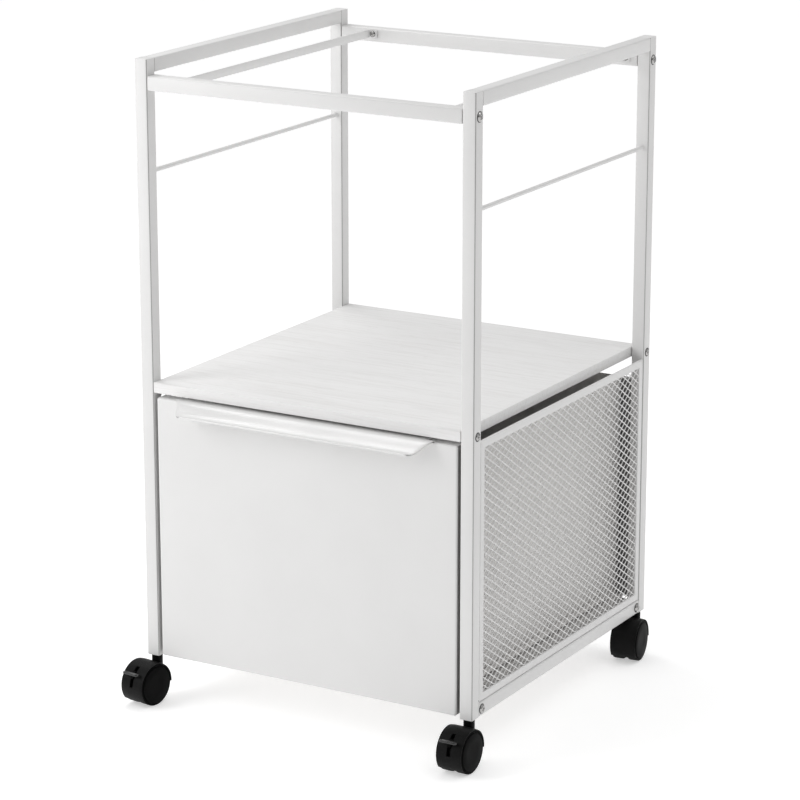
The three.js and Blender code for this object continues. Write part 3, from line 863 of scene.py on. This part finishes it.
def web_shape():
    """The plate between the wheels: a fan under the hood, its chord below the axle."""
    inset, steps = 4, 40
    sweep = HOOD_TO - HOOD_FROM - 2 * inset
    outline = []
    for i in range(steps + 1):
        outline.append(round_axle(HOOD_FROM + inset + sweep * i / steps, HOOD_RADIUS - 0.5 * MM))
    outline += [(12 * MM, -9 * MM), (0, -10.5 * MM), (-9 * MM, -12 * MM)]
    return slab(outline, "x", -WEB_HALF, WEB_HALF)


def neck_shape(top):
    """The straight neck between hood and post, with a fine groove under its top."""
    profile = [
        (NECK_RADIUS, 3 * MM), (NECK_RADIUS, top - 3.2 * MM),
        (NECK_RADIUS - 0.35 * MM, top - 3.0 * MM), (NECK_RADIUS - 0.35 * MM, top - 2.6 * MM),
        (NECK_RADIUS, top - 2.4 * MM), (NECK_RADIUS, top - 0.4 * MM), (NECK_RADIUS - 0.4 * MM, top),
    ]
    return turned(profile, "z", (0, TRAIL, 0), 56)


def wheel_shape(direction):
    """Rounded tread and rim, and a shallow dished disc inside a narrow groove."""
    outer = WHEEL_WIDTH
    radius = WHEEL_RADIUS
    profile = [(2.2 * MM, 0), (radius - 1.6 * MM, 0)]
    profile += [(radius - 1.6 * MM + r, 1.6 * MM - h) for h, r in arc((0, 0), 1.6 * MM, 0, 90, 5)]
    profile += [(radius, outer - 3.4 * MM)]
    profile += [(radius - 1.4 * MM + r, outer - 2.0 * MM + h) for r, h in arc((0, 0), 1.4 * MM, 10, 80, 5)]
    groove, disc = outer - 2.8 * MM, radius - 2.5 * MM
    profile += [(disc + 0.75 * MM, outer - 0.8 * MM), (disc + 0.6 * MM, groove), (disc, groove)]
    profile += [(disc, outer - 0.7 * MM), (disc - 0.25 * MM, outer - 0.25 * MM), (disc - 0.7 * MM, outer)]
    profile += [(disc * 0.5, outer - 0.5 * MM), (radius * 0.12, outer - 0.55 * MM)]
    profile = [(r, direction * (WHEEL_INNER + h)) for r, h in profile]
    return turned(profile, "x", (0, 0, 0), 96)


def sector(start, sweep, outer, inner, steps):
    """Outline of a ring's sector about the axle, its angles in degrees."""
    outline = [round_axle(start + sweep * i / steps, outer) for i in range(steps + 1)]
    return outline + [round_axle(start + sweep - sweep * i / steps, inner) for i in range(steps + 1)]


def rocker_shape():
    """The brake rocker that shows in the hood's groove."""
    half = 1.9 * MM
    return slab(sector(25, 20, 27.3 * MM, 22.3 * MM, 10), "x", -half, half)


def tab_shape():
    """Toe tab: a rounded plate with three grip ridges on top."""
    half, out, thick = 10.5 * MM, 3.75 * MM, 1.3 * MM
    tilt = Matrix.Rotation(math.radians(-12.25), 4, "X")
    y, z = round_axle(35, HOOD_RADIUS + 0.8 * MM + out)
    place = Matrix.Translation((0, y, z)) @ tilt
    plate = bar(Vector((-half, -out, -thick)), Vector((half, out, thick)), "z", 2.4 * MM, 0.7 * MM, 6)
    shapes = [moved(plate, place)]
    for i in range(3):
        along = -2.4 * MM + 1.5 * MM * i
        ridge = bar(
            Vector((-half + 2.5 * MM, along - 0.35 * MM, thick - 0.3 * MM)),
            Vector((half - 2.5 * MM, along + 0.35 * MM, thick + 0.3 * MM)),
            "x", 0.25 * MM, 0.2 * MM, 2,
        )
        shapes.append(moved(ridge, place))
    return joined(shapes)


def build_casters():
    """Housing, two wheels and, in front, the brake tab, each set square to its own axle."""
    joints = {joint["name"]: joint for joint in frame["joints"]}
    for corner in CORNERS:
        spin = joints[f"{corner}_wheel_left_spin"]
        axle, axis = Vector(spin["pos_m"]), Vector(spin["axis"])
        place = Matrix.Translation(axle) @ Matrix.Rotation(math.atan2(axis.y, axis.x), 4, "Z")
        body = f"{corner}_caster"
        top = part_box(f"{corner}_caster_housing")[1].z - axle.z

        housing = new_object(f"{corner}_caster_hood", hood_shape())
        web = new_object("web", web_shape())
        neck = new_object("neck", neck_shape(top))
        for part in (web, neck):
            modifier = housing.modifiers.new("join", "BOOLEAN")
            modifier.operation = "UNION"
            modifier.solver = "EXACT"
            modifier.object = part
        settle(housing)
        for part in (web, neck):
            bpy.data.objects.remove(part)
        for sign in (-1, 1):
            well = [(WELL_RADIUS, sign * WEB_HALF), (WELL_RADIUS, sign * WELL_END)]
            cut(housing, turned(well, "x", (0, 0, 0), 96))
        if corner.startswith("front"):
            groove = sector(2, 59, 27 * MM, 19.5 * MM, 14)
            cut(housing, slab(groove, "x", -GROOVE_HALF, GROOVE_HALF))
        housing.data.transform(place)
        dress(housing, HOOD_PLASTIC, body, [f"{corner}_caster_housing"])

        for side, direction in SIDES.items():
            node = f"{corner}_wheel_{side}"
            shape = moved(wheel_shape(direction), place)
            piece(f"{node}_disc", shape, DISC_PLASTIC, node, [node])
        if corner.startswith("front"):
            node = f"{corner}_brake_lever"
            rocker, tab = moved(rocker_shape(), place), moved(tab_shape(), place)
            piece(f"{node}_tab", tab, LEVER_PLASTIC, node, [node])
            piece(f"{node}_rocker", rocker, DISC_PLASTIC, node)


# ---------------------------------------------------------------- remaining CAD nodes
def paint_nodes():
    """The CAD parts that stay as they are get their finishes."""
    finishes = {"caster_stem": ZINC, "caster_axle": ZINC, "caster_socket": HOOD_PLASTIC}
    for corner in CORNERS:
        for ending, material in finishes.items():
            obj = frame["nodes"][f"{corner}_{ending}"]
            obj.data.materials.clear()
            obj.data.materials.append(material)
            smooth(obj.data)


# ---------------------------------------------------------------- floor and light
def build_stage():
    """A pale studio floor that glows a little, as an overexposed white sweep does."""
    half = 12
    mesh = bpy.data.meshes.new("floor")
    corners = [(-half, -half, 0), (half, -half, 0), (half, half, 0), (-half, half, 0)]
    mesh.from_pydata(corners, [], [(0, 1, 2, 3)])
    floor = bpy.data.objects.new("floor", mesh)
    bpy.context.scene.collection.objects.link(floor)
    shader = Shader("pale floor", Roughness=0.8, Specular_IOR_Level=0.1, Emission_Strength=0.45)
    shader.surface.inputs["Emission Color"].default_value = (1, 1, 1, 1)
    cloud = shader.noise(3, detail=3)
    shader.drive("Base Color", shader.ramp(cloud, [(0.3, grey(0.78)), (0.7, grey(0.80))]))
    mesh.materials.append(shader.material)


def area_light(name, location, target, size, power):
    data = bpy.data.lights.new(name, "AREA")
    data.shape = "RECTANGLE"
    data.size, data.size_y = size
    data.energy = power
    light = bpy.data.objects.new(name, data)
    bpy.context.scene.collection.objects.link(light)
    light.location = location
    light.rotation_mode = "QUATERNION"
    light.rotation_quaternion = (Vector(target) - Vector(location)).to_track_quat("-Z", "Y")


HORIZON_LIGHT, ZENITH_LIGHT = 0.40, 0.84
DARK_SIDE = aim(math.radians(46), math.radians(4))
DARK_LIGHT = 0.12


def build_light():
    """A soft dome, brightest overhead, with an unlit gap on the right front, and a key on the left."""
    bpy.context.scene.view_settings.view_transform = "Standard"
    world = bpy.data.worlds.new("studio")
    world.use_nodes = True
    nodes, links = world.node_tree.nodes, world.node_tree.links
    direction = nodes.new("ShaderNodeTexCoord").outputs["Generated"]

    def toward(axis, low, high, start, end):
        dot = nodes.new("ShaderNodeVectorMath")
        dot.operation = "DOT_PRODUCT"
        dot.inputs[1].default_value = axis
        links.new(direction, dot.inputs[0])
        ease = nodes.new("ShaderNodeMapRange")
        ease.interpolation_type = "SMOOTHSTEP"
        for socket, value in zip(("From Min", "From Max", "To Min", "To Max"), (low, high, start, end)):
            ease.inputs[socket].default_value = value
        links.new(dot.outputs["Value"], ease.inputs["Value"])
        return ease.outputs["Result"]

    dome = toward((0, 0, 1), 0.0, 0.9, HORIZON_LIGHT, ZENITH_LIGHT)
    gap = toward(DARK_SIDE, 0.72, 0.96, 1.0, DARK_LIGHT)
    strength = nodes.new("ShaderNodeMath")
    strength.operation = "MULTIPLY"
    links.new(dome, strength.inputs[0])
    links.new(gap, strength.inputs[1])
    links.new(strength.outputs["Value"], nodes["Background"].inputs["Strength"])
    nodes["Background"].inputs["Color"].default_value = (1, 1, 1, 1)
    bpy.context.scene.world = world
    area_light("key", (-1.05, -1.2, 0.95), (-0.15, -0.2, 0.4), (0.7, 1.1), 8.8)
    area_light("top", (-0.9, 0.3, 1.95), (0, -0.1, 0.36), (0.8, 0.8), 7.6)
    area_light("fill", (1.1, 0.35, 1.7), (0.2, 0, 0.75), (0.6, 0.6), 2.0)


build_frame()
build_welds()
build_file_rails()
build_screws()
build_shelf()
build_mesh_panels()
build_drawer()
build_sheet_metal()
build_casters()
paint_nodes()
build_stage()
build_light()
